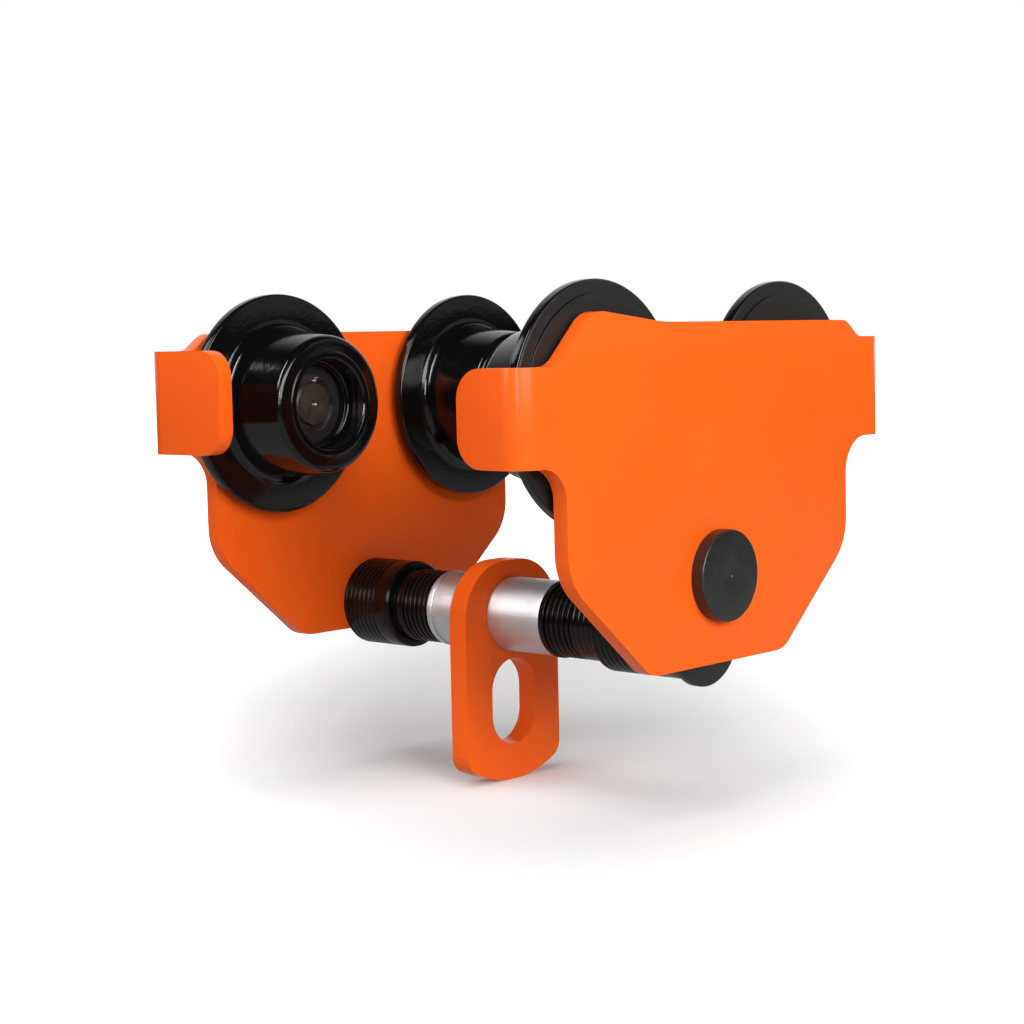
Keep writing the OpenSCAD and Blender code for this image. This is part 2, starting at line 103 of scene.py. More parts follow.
wheel_low, wheel_high = ends("wheel_right_front")
left_low, left_high = ends("barrel_nut_left")
sleeve_low, sleeve_high = ends("centre_sleeve")
thread_low, thread_high = ends("thread_bush")
plate_in = -left_low.x
wheel_base = -(wheel_low.y + wheel_high.y)
axle_z = (wheel_low.z + wheel_high.z) / 2
flange_r = (wheel_high.z - wheel_low.z) / 2
spindle_z = (sleeve_low.z + sleeve_high.z) / 2
sleeve_r = (sleeve_high.z - sleeve_low.z) / 2
thread_r = (thread_high.z - thread_low.z) / 2
AXLE = Vector((0, -wheel_base / 2, axle_z))
SPINDLE = Vector((0, 0, spindle_z))
print("plate at", plate_in, "axles at", tuple(AXLE), "spindle at", tuple(SPINDLE))

# %% [markdown]
# ## Helpers that work as a lathe and a file do
# Most pieces of a trolley are turned on a lathe. A single point is extruded along the
# outline and spun round the axis, which gives clean rings of faces and closed poles.
# The corners of the outline are softened first, because every real turned edge is broken
# with a small radius, and that radius is what catches the light.


# %% Soft corners
# A rounding over 2 mm gets a face every 12 degrees, a smaller one every 22
LARGE, FINE_ARC, COARSE_ARC = 2, 12, 22


def soften(outline, closed=True):
    """Puts an arc on each corner that has a rounding. A corner is (x, radius, rounding) in mm."""
    points = []
    for i, (x, r, rounding) in enumerate(outline):
        here = Vector((x, 0, r))
        if rounding == 0 or (not closed and i in (0, len(outline) - 1)):
            points.append((x, r))
            continue
        before, after = outline[i - 1], outline[(i + 1) % len(outline)]
        into = (here - Vector((before[0], 0, before[1]))).normalized()
        out = (Vector((after[0], 0, after[1])) - here).normalized()
        angle = into.angle(out)
        back = rounding * math.tan(angle / 2)
        centre = here + (out - into).normalized() * rounding / math.cos(angle / 2)
        start, end = here - into * back - centre, here + out * back - centre
        per_face = FINE_ARC if rounding > LARGE else COARSE_ARC
        steps = max(2, round(math.degrees(angle) / per_face))
        for k in range(steps + 1):
            p = centre + rounding * start.slerp(end, k / steps)
            points.append((p.x, p.z))
    return points


# %% Edit mode helpers
# Points nearer than this many metres become one
WELD = 2e-6


def only(obj):
    """Selects one object alone and makes it the active one."""
    bpy.ops.object.select_all(action="DESELECT")
    obj.select_set(True)
    bpy.context.view_layer.objects.active = obj


def point_at(name, place):
    """A new mesh of one vertex at a place in metres, left in edit mode with the vertex selected."""
    bpy.ops.object.select_all(action="DESELECT")
    bpy.ops.mesh.primitive_plane_add(size=MM, location=place)
    bpy.context.object.name = name
    bpy.ops.object.mode_set(mode="EDIT")
    bpy.ops.mesh.select_all(action="SELECT")
    bpy.ops.mesh.merge(type="CENTER")
    return bpy.context.object


def step_by(dx, dz):
    """Extrudes the selected vertex by a step across and up, in mm."""
    bpy.ops.mesh.extrude_region_move(TRANSFORM_OT_translate={"value": (dx * MM, 0, dz * MM)})


def weld():
    """Selects the whole mesh and joins the points that lie on each other."""
    bpy.ops.mesh.select_all(action="SELECT")
    bpy.ops.mesh.remove_doubles(threshold=WELD)


def tidy_mesh():
    """Closes seams and poles, then turns all faces outwards."""
    weld()
    bpy.ops.mesh.normals_make_consistent(inside=False)


def settle(obj, angle=30):
    """Leaves edit mode, puts the object's place into its mesh and smooths its gentle edges."""
    if bpy.context.mode != "OBJECT":
        bpy.ops.object.mode_set(mode="OBJECT")
    only(obj)
    bpy.ops.object.transform_apply(location=True, rotation=True, scale=True)
    bpy.ops.object.shade_smooth_by_angle(angle=math.radians(angle))
    return obj


# %% The lathe
def turned(name, outline, axis, steps=96, closed=True):
    """Turns an outline of (x, radius) in mm round a line along X through the point axis."""
    x, r = outline[0]
    obj = point_at(name, ((x + axis.x) * MM, axis.y * MM, (axis.z + r) * MM))
    for nx, nr in outline[1:] + (outline[:1] if closed else []):
        step_by(nx - x, nr - r)
        x, r = nx, nr
    weld()
    bpy.ops.mesh.spin(steps=steps, angle=2 * math.pi, center=axis * MM, axis=(1, 0, 0))
    tidy_mesh()
    settle(obj)
    print("turned", name, len(obj.data.vertices), "vertices")
    return obj


# %% Copies with their own mesh
def copy_of(obj, name, along=0, turn=False):
    """Copies a piece, moves it along the beam and, for the left side, turns it half round."""
    only(obj)
    bpy.ops.object.duplicate(linked=False)
    copy = bpy.context.object
    copy.name = name
    bpy.ops.transform.translate(value=(0, along * MM, 0))
    if turn:
        bpy.ops.transform.rotate(value=math.pi, orient_axis="Z", center_override=(0, 0, 0))
    bpy.ops.object.transform_apply(location=True, rotation=True, scale=True)
    return copy


def at_four(obj, stem):
    """The piece made at the right front axle, and its copies at the other three, by place."""
    obj.name = f"{stem}_right_front"
    return {
        "right_front": obj,
        "right_rear": copy_of(obj, f"{stem}_right_rear", wheel_base),
        "left_front": copy_of(obj, f"{stem}_left_front", wheel_base, turn=True),
        "left_rear": copy_of(obj, f"{stem}_left_rear", turn=True),
    }


# %% [markdown]
# ## Shader groups
# Several finishes share an effect: the rings that a lathe tool leaves, the soft ripple of
# sprayed paint, and the blotches that handling leaves in a gloss. Each effect is one node
# group that puts out a height or a mask. Every material then feeds it its own numbers.


# %% Group helpers
def new_group(name, inputs, output):
    """A node group with named inputs and one float output, its two end nodes included."""
    group = bpy.data.node_groups.new(name, "ShaderNodeTree")
    for label, kind, value in inputs:
        socket = group.interface.new_socket(label, in_out="INPUT", socket_type=kind)
        socket.default_value = value
    group.interface.new_socket(output, in_out="OUTPUT", socket_type="NodeSocketFloat")
    return group, group.nodes.new("NodeGroupInput"), group.nodes.new("NodeGroupOutput")


def add(tree, kind, **settings):
    """Adds a node and sets what is named: properties, or inputs given as in_0, in_1 and so on."""
    node = tree.nodes.new(kind)
    for key, value in settings.items():
        if key.startswith("in_"):
            node.inputs[int(key[3:])].default_value = value
        else:
            setattr(node, key, value)
    return node


# %% Group for turning marks
# X and Y are folded to one quarter, so that one axle's rings serve all four wheels
marks, enter, leave = new_group("Turning marks", [
    ("Place", "NodeSocketVector", (0, 0, 0)),
    ("Axis", "NodeSocketVector", (0, 0, 0)),
    ("Rings per metre", "NodeSocketFloat", 2500),
], "Height")
folded = add(marks, "ShaderNodeVectorMath", operation="ABSOLUTE")
upright = add(marks, "ShaderNodeVectorMath", operation="MULTIPLY", in_1=(0, 0, 1))
flat = add(marks, "ShaderNodeVectorMath", operation="MULTIPLY", in_1=(1, 1, 0))
whole = add(marks, "ShaderNodeVectorMath", operation="ADD")
centred = add(marks, "ShaderNodeVectorMath", operation="SUBTRACT")
split = add(marks, "ShaderNodeSeparateXYZ")
across = add(marks, "ShaderNodeCombineXYZ")
radius = add(marks, "ShaderNodeVectorMath", operation="LENGTH")
both = add(marks, "ShaderNodeMath", operation="ADD")
rings = add(marks, "ShaderNodeMath", operation="MULTIPLY")
noise = add(marks, "ShaderNodeTexNoise", noise_dimensions="1D")
noise.inputs["Scale"].default_value = 1
noise.inputs["Detail"].default_value = 3
marks.links.new(enter.outputs["Place"], folded.inputs[0])
marks.links.new(folded.outputs[0], flat.inputs[0])
marks.links.new(enter.outputs["Place"], upright.inputs[0])
marks.links.new(flat.outputs[0], whole.inputs[0])
marks.links.new(upright.outputs[0], whole.inputs[1])
marks.links.new(whole.outputs[0], centred.inputs[0])
marks.links.new(enter.outputs["Axis"], centred.inputs[1])
marks.links.new(centred.outputs[0], split.inputs[0])
marks.links.new(split.outputs["Y"], across.inputs["Y"])
marks.links.new(split.outputs["Z"], across.inputs["Z"])
marks.links.new(across.outputs[0], radius.inputs[0])
marks.links.new(radius.outputs["Value"], both.inputs[0])
marks.links.new(split.outputs["X"], both.inputs[1])
marks.links.new(both.outputs[0], rings.inputs[0])
marks.links.new(enter.outputs["Rings per metre"], rings.inputs[1])
marks.links.new(rings.outputs[0], noise.inputs["W"])
marks.links.new(noise.outputs["Fac"], leave.inputs["Height"])
print("group", marks.name)

# %% Groups for ripple and blotches
ripple, enter, leave = new_group("Paint ripple", [
    ("Place", "NodeSocketVector", (0, 0, 0)),
    ("Grain per metre", "NodeSocketFloat", 500),
], "Height")
grain = add(ripple, "ShaderNodeTexNoise")
grain.inputs["Detail"].default_value = 2
ripple.links.new(enter.outputs["Place"], grain.inputs["Vector"])
ripple.links.new(enter.outputs["Grain per metre"], grain.inputs["Scale"])
ripple.links.new(grain.outputs["Fac"], leave.inputs["Height"])

blotch, enter, leave = new_group("Blotches", [
    ("Place", "NodeSocketVector", (0, 0, 0)),
    ("Spots per metre", "NodeSocketFloat", 40),
    ("Low", "NodeSocketFloat", 0.2),
    ("High", "NodeSocketFloat", 0.4),
], "Value")
cloud = add(blotch, "ShaderNodeTexNoise")
cloud.inputs["Detail"].default_value = 5
cloud.inputs["Roughness"].default_value = 0.6
spread = add(blotch, "ShaderNodeMapRange")
blotch.links.new(enter.outputs["Place"], cloud.inputs["Vector"])
blotch.links.new(enter.outputs["Spots per metre"], cloud.inputs["Scale"])
blotch.links.new(cloud.outputs["Fac"], spread.inputs["Value"])
spread.inputs["From Min"].default_value = 0.3
spread.inputs["From Max"].default_value = 0.7
blotch.links.new(enter.outputs["Low"], spread.inputs["To Min"])
blotch.links.new(enter.outputs["High"], spread.inputs["To Max"])
blotch.links.new(spread.outputs["Result"], leave.inputs["Value"])
print("groups", ripple.name, "and", blotch.name)


# %% Material helpers
def new_material(name, colour, metallic, **sockets):
    """A material, its node tree, its shader and the socket with its object coordinates."""
    material = bpy.data.materials.new(name)
    material.use_nodes = True
    tree = material.node_tree
    shader = tree.nodes["Principled BSDF"]
    shader.inputs["Base Color"].default_value = (*colour, 1)
    shader.inputs["Metallic"].default_value = metallic
    for label, value in sockets.items():
        shader.inputs[label.replace("_", " ")].default_value = value
    material.diffuse_color = (*colour, 1)
    return material, tree, shader, add(tree, "ShaderNodeTexCoord").outputs["Object"]


def use_group(tree, group, place, **values):
    """Places a group in a material, joined to the object coordinates, with its own values."""
    node = add(tree, "ShaderNodeGroup", node_tree=group)
    tree.links.new(place, node.inputs["Place"])
    for label, value in values.items():
        node.inputs[label.replace("_", " ")].default_value = value
    return node.outputs[0]


def bump_into(tree, shader, heights):
    """Chains a Bump node for each (height, strength, distance in mm) into the shader's Normal."""
    last = None
    for height, strength, distance in heights:
        bump = add(tree, "ShaderNodeBump")
        bump.inputs["Strength"].default_value = strength
        bump.inputs["Distance"].default_value = distance * MM
        tree.links.new(height, bump.inputs["Height"])
        if last:
            tree.links.new(last.outputs["Normal"], bump.inputs["Normal"])
        last = bump
    tree.links.new(last.outputs["Normal"], shader.inputs["Normal"])


def tint_by(tree, shader, mask, dark, light):
    """Mixes the shader's base colour between two colours by a mask."""
    mix = add(tree, "ShaderNodeMix", data_type="RGBA")
    first, second = [s for s in mix.inputs if s.type == "RGBA"]
    first.default_value = (*dark, 1)
    second.default_value = (*light, 1)
    mixed = next(s for s in mix.outputs if s.type == "RGBA")
    tree.links.new(mask, mix.inputs["Factor"])
    tree.links.new(mixed, shader.inputs["Base Color"])


def rough_by(tree, shader, place, spots, low, high):
    """Lets the roughness drift between two values in blotches, so many to the metre."""
    mask = use_group(tree, blotch, place, Spots_per_metre=spots, Low=low, High=high)
    tree.links.new(mask, shader.inputs["Roughness"])


# %% [markdown]
# ## Orange powder coat
# The plates and the hanger are sprayed with powder and baked. The coat is even and glossy,
# with a soft ripple that only shows in reflections. A bump of low height gives the ripple,
# and blotches vary the gloss a little, so that a large flat face doesn't look like plastic.

# %% Orange paint
orange, tree, shader, place = new_material(
    "orange_powder_coat", (0.90, 0.114, 0.009), 0, Specular_IOR_Level=0.13)
clouds = use_group(tree, blotch, place, Spots_per_metre=14, Low=0, High=1)
tint_by(tree, shader, clouds, (0.88, 0.108, 0.008), (0.92, 0.120, 0.010))
rough_by(tree, shader, place, 60, 0.20, 0.26)
bump_into(tree, shader, [
    (use_group(tree, ripple, place, Grain_per_metre=420), 0.12, 0.05),
    (use_group(tree, ripple, place, Grain_per_metre=1500), 0.06, 0.02),
])

# %% [markdown]
# ## Black finishes
# The wheels wear a gloss black paint over turned steel. The coat is smooth but a little
# uneven, so a highlight on a tread breaks up into soft patches, and a trace of the lathe's
# rings is left. The wheels' backs are cast faces under thin paint, so they get a second,
# rougher finish with fine speckles. Spindle, barrels, plug, disc and circlips are black
# from an oxide bath: bare metal with a dark skin and the rings more open. Rings turn about
# one axis, so the plug and the disc each have their own copy of that finish.

# %% Wheel paint
FOLDED_AXLE = tuple(Vector((0, wheel_base / 2, axle_z)) * MM)
wheel_black, tree, shader, place = new_material(
    "wheel_gloss_black", (0.003, 0.003, 0.0031), 0, Specular_IOR_Level=0.42)
rough_by(tree, shader, place, 90, 0.09, 0.17)
bump_into(tree, shader, [
    (use_group(tree, marks, place, Axis=FOLDED_AXLE, Rings_per_metre=1800), 0.10, 0.02),
    (use_group(tree, ripple, place, Grain_per_metre=450), 0.4, 0.12),
])

# %% Wheel backs
back_satin, tree, shader, place = new_material(
    "wheel_back_satin", (0.014, 0.014, 0.014), 0, Specular_IOR_Level=0.28)
speckle = use_group(tree, ripple, place, Grain_per_metre=1600)
tint_by(tree, shader, speckle, (0.004, 0.004, 0.004), (0.024, 0.024, 0.024))
rough_by(tree, shader, place, 300, 0.32, 0.5)
bump_into(tree, shader, [(speckle, 0.5, 0.06)])

# %% Oxide skin on the spindle and barrels
oxide, tree, shader, place = new_material(
    "black_oxide", (0.004, 0.0038, 0.0036), 0, Specular_IOR_Level=0.22)
clouds = use_group(tree, blotch, place, Spots_per_metre=120, Low=0, High=1)
tint_by(tree, shader, clouds, (0.002, 0.002, 0.002), (0.008, 0.007, 0.006))
rough_by(tree, shader, place, 160, 0.14, 0.26)
bump_into(tree, shader, [
    (use_group(tree, marks, place, Axis=tuple(SPINDLE * MM), Rings_per_metre=5000), 0.2, 0.02),
])


# %% Oxide skins with rings, and circlips
def faced_black(name, axis, pale):
    """A black skin over the rings that a lathe cuts on a face, round an axis of its own."""
    material, tree, shader, place = new_material(
        name, (0.016, 0.0158, 0.0155), 0, Specular_IOR_Level=0.5)
    rings = use_group(tree, marks, place, Axis=tuple(axis * MM), Rings_per_metre=2600)
    tint_by(tree, shader, rings, (0.007, 0.007, 0.0068), (pale, 0.98 * pale, 0.96 * pale))
    rough_by(tree, shader, place, 140, 0.2, 0.4)
    bump_into(tree, shader, [(rings, 0.5, 0.05)])
    return material


plug_low, plug_high = ends("drive_hole_plug")
plug_axis = Vector((0, 0, (plug_low.z + plug_high.z) / 2))
plug_black = faced_black("plug_black", plug_axis, 0.026)
disc_black = faced_black("closing_disc_black", SPINDLE, 0.011)

clip_black, tree, shader, place = new_material("circlip_black", (0.16, 0.155, 0.15), 1)
rough_by(tree, shader, place, 300, 0.25, 0.4)

# %% [markdown]
# ## Bright metal, rubber and cage
# The sleeve is turned and polished, so its highlight is long and streaked round the axis.
# The axle tips are turned steel that has darkened with oil. Bearing rings are ground and
# bright, their seals matt black rubber, and the cage pressed from grey sheet.

# %% Bright and turned steel
bright, tree, shader, place = new_material("bright_turned_steel", (0.66, 0.68, 0.695), 1)
rough_by(tree, shader, place, 80, 0.38, 0.46)
bump_into(tree, shader, [
    (use_group(tree, marks, place, Axis=tuple(SPINDLE * MM), Rings_per_metre=9000), 1.0, 0.085),
])

turned_steel, tree, shader, place = new_material("turned_axle_steel", (0.20, 0.17, 0.15), 1)
ring_mask = use_group(tree, marks, place, Axis=FOLDED_AXLE, Rings_per_metre=1400)
tint_by(tree, shader, ring_mask, (0.10, 0.085, 0.075), (0.30, 0.26, 0.23))
rough_by(tree, shader, place, 200, 0.3, 0.45)
bump_into(tree, shader, [(ring_mask, 0.3, 0.04)])

race_steel, tree, shader, place = new_material("ground_race_steel", (0.55, 0.55, 0.56), 1)
rough_by(tree, shader, place, 250, 0.16, 0.26)
bump_into(tree, shader, [
    (use_group(tree, marks, place, Axis=FOLDED_AXLE, Rings_per_metre=6000), 0.1, 0.01),
])

# %% Rubber and pressed sheet
rubber, tree, shader, place = new_material("seal_black_rubber", (0.005, 0.005, 0.005), 0)
rough_by(tree, shader, place, 400, 0.5, 0.65)
bump_into(tree, shader, [(use_group(tree, ripple, place, Grain_per_metre=3000), 0.15, 0.02)])

cage_steel, tree, shader, place = new_material("cage_sheet", (0.36, 0.35, 0.33), 1)
rough_by(tree, shader, place, 300, 0.32, 0.5)
bump_into(tree, shader, [(use_group(tree, ripple, place, Grain_per_metre=2500), 0.1, 0.01)])
print("materials", [m.name for m in bpy.data.materials])


# %% Dress a piece
def wear(obj, material):
    """Gives an object one material only."""
    obj.data.materials.clear()
    obj.data.materials.append(material)


def dress(obj, body, material, node):
    """Gives a piece its material, if one is given, and its carrying body, and hides the CAD node
    that it stands for.
    """
    if material:
        wear(obj, material)
    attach(obj, body)
    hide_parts(node)


# %% [markdown]
# ## Wheels
# A trolley wheel is one turned casting: a thin flange that keeps it on the beam, a tapered
# tread that rolls on the sloping inside of an I-beam, and a deep mouth with the bearing at
# its foot. One outline spun round the axle gives all of it. The wheel is made once at the
# right front axle and copied to the other three.

# %% One wheel outline
bearing_low, bearing_high = ends("outer_race_right_front")
bore_r = (bearing_high.z - bearing_low.z) / 2
gap, length = plate_in - wheel_high.x, plate_in - wheel_low.x
bearing_end, bearing_start = plate_in - bearing_low.x, plate_in - bearing_high.x
clip_low, clip_high = ends("bore_clip_right_front")
groove_r = (clip_high.z - clip_low.z) / 2
# The mouth is this much narrower than the bore, all round
mouth_step = 1
mouth_r = bore_r - mouth_step
# Radii of the raised back, of the tread at its two ends, and of the rim round the mouth
back_r, root_r, nose_r, rim_r = 44.5, 34.4, 30.55, 23.6
# How far the back is raised, where the flange ends, and the step down from the rim
back_step, flange_end, rim_step = 1, 6.5, 0.4
# The shoulder that stops the bearing: its thickness and how far it reaches inwards
shoulder_t, shoulder_in = 3.4, 2.2
bore_chamfer, mouth_chamfer = 0.4, 0.9
# A corner is (distance from the plate, radius, rounding)
wheel_outline = [
    (gap, bore_r + bore_chamfer, 0),
    (gap, back_r, 0.25),
    (gap + back_step, back_r, 0.3),
    (gap + back_step, flange_r, 1.2),
    (gap + flange_end, flange_r, 1.2),
    (gap + flange_end, root_r, 4.6),
    (length - rim_step, nose_r, 3.2),
    (length - rim_step, rim_r, 0.5),
    (length, rim_r - rim_step, 0.4),
    (length, mouth_r + mouth_chamfer, 0.35),
    (length - mouth_chamfer, mouth_r, 0.35),
    (bearing_end + shoulder_t, mouth_r, 1.2),
    (bearing_end + shoulder_t, mouth_r - shoulder_in, 0.4),
    (bearing_end + PLAY, mouth_r - shoulder_in, 0),
    (bearing_end + PLAY, bore_r, 0),
    (bearing_start, bore_r, 0),
    (bearing_start, groove_r, 0),
    (plate_in - clip_high.x, groove_r, 0),
    (plate_in - clip_high.x, bore_r, 0),
    (gap + bore_chamfer, bore_r, 0),
]

# %% The wheel and its three copies
wheel = turned("wheel_body", [(plate_in - d, r) for d, r in soften(wheel_outline)], AXLE, steps=128)
wheel.data.materials.append(wheel_black)
wheel.data.materials.append(back_satin)
# The back's faces lie this near the wheel's end, in mm, and look this squarely at the plate
back_zone, squarely = 1.6, 0.8
backs = [f for f in wheel.data.polygons
         if f.center.x / MM > plate_in - gap - back_zone and f.normal.x > squarely]
for face in backs:
    face.material_index = 1
print("wheel back faces", len(backs))
for place_name, piece in at_four(wheel, "wheel_body").items():
    dress(piece, f"wheel_{place_name}", None, f"wheel_{place_name}")

# %% [markdown]
# ## Side plates and hanger
# These are cut from 7 and 10 mm plate, bent and painted, and paint never leaves a knife
# edge. Drawing the outline again would only risk a wrong size. So the CAD node's own mesh
# is copied, its loose triangles are merged and its flat faces joined, and a bevel then
# rounds every sharp edge.


# %% Rounded copies of cut plate
# Faces that meet at less than the first angle are one flat, edges over the second are sharp
FLAT, SHARP = math.radians(0.4), math.radians(35)


def rounded_copy(node, name, width):
    """A merged copy of a CAD node whose sharp edges are rounded by a width in mm."""
    only(frame["nodes"][node])
    bpy.ops.object.duplicate(linked=False)
    copy = bpy.context.object
    copy.name = name
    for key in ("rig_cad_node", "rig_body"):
        if key in copy:
            del copy[key]
    copy.parent = None
    bpy.ops.object.mode_set(mode="EDIT")
    weld()
    bpy.ops.mesh.customdata_custom_splitnormals_clear()
    bpy.ops.mesh.dissolve_limited(angle_limit=FLAT)
    bpy.ops.object.mode_set(mode="OBJECT")
    bpy.ops.object.modifier_add(type="BEVEL")
    bevel = copy.modifiers[-1]
    bevel.width = width * MM
    bevel.segments = 3
    bevel.limit_method = "ANGLE"
    bevel.angle_limit = SHARP
    bpy.ops.object.modifier_apply(modifier=bevel.name)
    settle(copy)
    print("rounded", name, len(copy.data.polygons), "faces")
    return copy


for side in ("right", "left"):
    plate = rounded_copy(f"side_plate_{side}", f"side_plate_{side}_painted", 0.7)
    dress(plate, f"{side}_side", orange, f"side_plate_{side}")
hanger = rounded_copy("hanger_plate", "hanger_painted", 0.8)
dress(hanger, "hanger", orange, "hanger_plate")

# %% [markdown]
# ## Barrels
# The spindle runs in two black barrels that are welded to the plates. Their outside is
# ribbed by a row of V-grooves. The grooves are part of the turned outline, so the ribs get
# real edges that catch the light, which a bump could not do at the silhouette.


# %% Outline of a ribbed barrel
# The grooves' depth, which is also half their width, and their pitch, in mm
GROOVE, GROOVE_PITCH = 0.62, 3
BORE_CHAMFER = 0.5


def barrel_outline(length, grooves, outer, inner):
    """Outline of (distance from the plate, radius) with V-grooves at the given distances."""
    corners = [(0, inner, 0), (0, outer, 0.3)]
    for at in grooves:
        corners += [
            (at - GROOVE, outer, 0.15),
            (at, outer - GROOVE, 0.12),
            (at + GROOVE, outer, 0.15),
        ]
    corners += [
        (length, outer, 1.6),
        (length, inner + BORE_CHAMFER, 0),
        (length - BORE_CHAMFER, inner, 0),
    ]
    return soften(corners)


# %% The two barrels
right_low, right_high = ends("barrel_nut_right")
barrel_r = (left_high.z - left_low.z) / 2
barrel_bore = thread_r + PLAY
left_len, right_len = left_high.x - left_low.x, right_high.x - right_low.x
# The far barrel's grooves start at its plate, the near one's at its open end
left_first, left_count = 1.8, 7
right_first, right_count = 3.2, 10
left_grooves = [left_first + GROOVE_PITCH * k for k in range(left_count)]
right_grooves = sorted(right_len - right_first - GROOVE_PITCH * k for k in range(right_count))
right_outline = barrel_outline(right_len, right_grooves, barrel_r, barrel_bore)
left_outline = barrel_outline(left_len, left_grooves, barrel_r, barrel_bore)
right_barrel = turned("barrel_right", [(right_high.x - d, r) for d, r in right_outline], SPINDLE)
left_barrel = turned("barrel_left", [(d - plate_in, r) for d, r in left_outline], SPINDLE)
dress(right_barrel, "right_side", oxide, "barrel_nut_right")
dress(left_barrel, "left_side", oxide, "barrel_nut_left")

# %% [markdown]
# ## The disc behind the near plate
# A flat disc stands between the near barrel and its plate and closes the barrel's outer end.
# It is a slice off a bar with a broken edge towards the barrel, so it is turned like the rest.

# %% Closing disc
disc_low, disc_high = ends("closing_disc")
disc_r = (disc_high.z - disc_low.z) / 2
disc_chamfer = 0.8
disc = turned("disc_turned", soften([
    (disc_low.x, 0, 0),
    (disc_low.x, disc_r - disc_chamfer, 0.2),
    (disc_low.x + disc_chamfer, disc_r, 0.2),
    (disc_high.x, disc_r, 0.3),
    (disc_high.x, 0, 0),
], closed=False), SPINDLE, closed=False)
dress(disc, "right_side", disc_black, "closing_disc")

# %% [markdown]
# ## Threads
# The spindle has a left-hand thread at one end and a right-hand thread at the other, so one
# turn draws both plates together. Rings would look alike from afar, but a thread is one
# groove that climbs. A Screw modifier sweeps one pitch of the outline along the axis, and
# the ends are cut off square with a bisect that also closes them. The thread wears shallow
# where it runs in the barrel, so each end has a deep stretch and a worn one.


# %% A helical thread
PITCH = 3
# One pitch of the outline, as steps along and up, in parts of the pitch and of the depth
RIDGE = [(0.16, 0.0), (0.10, 0.55), (0.06, 0.35), (0.05, 0.10),
         (0.26, 0.0), (0.05, -0.10), (0.06, -0.35), (0.10, -0.55)]
# Distance in metres at which the sweep and the cuts join points
HAIR = 1e-6


def thread(name, start, end, depth, hand):
    """A solid threaded rod along X from start to end in mm. hand is 1 or -1."""
    turns = math.ceil((end - start) / PITCH) + 2
    first = start - PITCH if hand > 0 else end
    obj = point_at(name, (first * MM, SPINDLE.y * MM, SPINDLE.z * MM))
    bpy.ops.transform.translate(value=(0, 0, (thread_r - depth) * MM))
    for along, rise in RIDGE:
        step_by(along * PITCH, rise * depth)
    step_by((1 - sum(along for along, rise in RIDGE)) * PITCH, 0)
    bpy.ops.object.mode_set(mode="OBJECT")
    bpy.ops.object.modifier_add(type="SCREW")
    screw = obj.modifiers[-1]
    screw.axis = "X"
    screw.angle = 2 * math.pi
    screw.screw_offset = hand * PITCH * MM
    screw.iterations = turns
    screw.steps = screw.render_steps = 72
    screw.use_merge_vertices = True
    screw.merge_threshold = HAIR
    bpy.ops.object.modifier_apply(modifier=screw.name)
    bpy.ops.object.mode_set(mode="EDIT")
    weld()
    for at, beyond in ((start, "clear_inner"), (end, "clear_outer")):
        bpy.ops.mesh.select_all(action="SELECT")
        bpy.ops.mesh.bisect(plane_co=(at * MM, 0, 0), plane_no=(1, 0, 0), use_fill=True,
                            threshold=HAIR, **{beyond: True})
    tidy_mesh()
    settle(obj, 35)
    print("thread", name, len(obj.data.polygons), "faces")
    return obj


# %% Joining, and lengths along the spindle
def joined(parts, name):
    """Joins pieces into the last of them and names it."""
    bpy.ops.object.select_all(action="DESELECT")
    for part in parts:
        part.select_set(True)
    bpy.context.view_layer.objects.active = parts[-1]
    bpy.ops.object.join()
    parts[-1].name = name
    return parts[-1]


spindle_low, spindle_high = ends("spindle")
washer_gap, sleeve_wall = 0.15, 5
left_end = ends("sleeve_washer_left")[0].x - washer_gap
right_end = thread_low.x
core_r = sleeve_r - sleeve_wall
# Depths of a fresh thread and of a worn one
DEEP, WORN = 0.95, 0.16
# Lengths of the deep stretches, how far each runs into the worn one, and the core into it
left_run, right_run, lap, core_lap = 17, 15.5, 0.5, 1
print("core radius", round(core_r, 2), "thread ends at", round(left_end, 2), round(right_end, 2))

# %% Spindle with its core
left_deep = thread("spindle_thread", left_end - left_run, left_end, DEEP, 1)
left_worn = thread("spindle_worn", spindle_low.x, left_end - left_run + lap, WORN, 1)
core = turned("spindle_core", soften([
    (left_end - core_lap, 0, 0),
    (left_end - core_lap, core_r, 0),
    (spindle_high.x, core_r, 0.8),
    (spindle_high.x, 0, 0),
], closed=False), SPINDLE, closed=False)
spindle = joined([core, left_worn, left_deep], "spindle_threaded")
dress(spindle, "spindle", oxide, "spindle")

# %% Bush on the other end
right_deep = thread("bush_thread", right_end, right_end + right_run, DEEP, -1)
right_worn = thread("bush_worn", right_end + right_run - lap, thread_high.x, WORN, -1)
bush = joined([right_worn, right_deep], "bush_threaded")
dress(bush, "spindle", oxide, "thread_bush")

# %% [markdown]
# ## Sleeve, washers and plug
# The bright sleeve is what the hanger hangs on, and a washer closes each of its ends. The
# black plug closes the hole that a geared trolley has for its hand-chain wheel. All four
# are plain turned pieces, and their small edge radii are what makes them read as metal.

# %% Turned rings
washer_left_low, washer_left_high = ends("sleeve_washer_left")
washer_right_low, washer_right_high = ends("sleeve_washer_right")
washer_r = (washer_left_high.z - washer_left_low.z) / 2
# Rounding of a ring's outer edges
EDGE = 0.35


def ring(name, low, high, outer):
    """A turned ring on the spindle's core between two corners, with soft outer edges."""
    inner = core_r + PLAY
    return turned(name, soften([
        (low.x, inner, 0),
        (low.x, outer, EDGE),
        (high.x, outer, EDGE),
        (high.x, inner, 0),
    ]), SPINDLE)


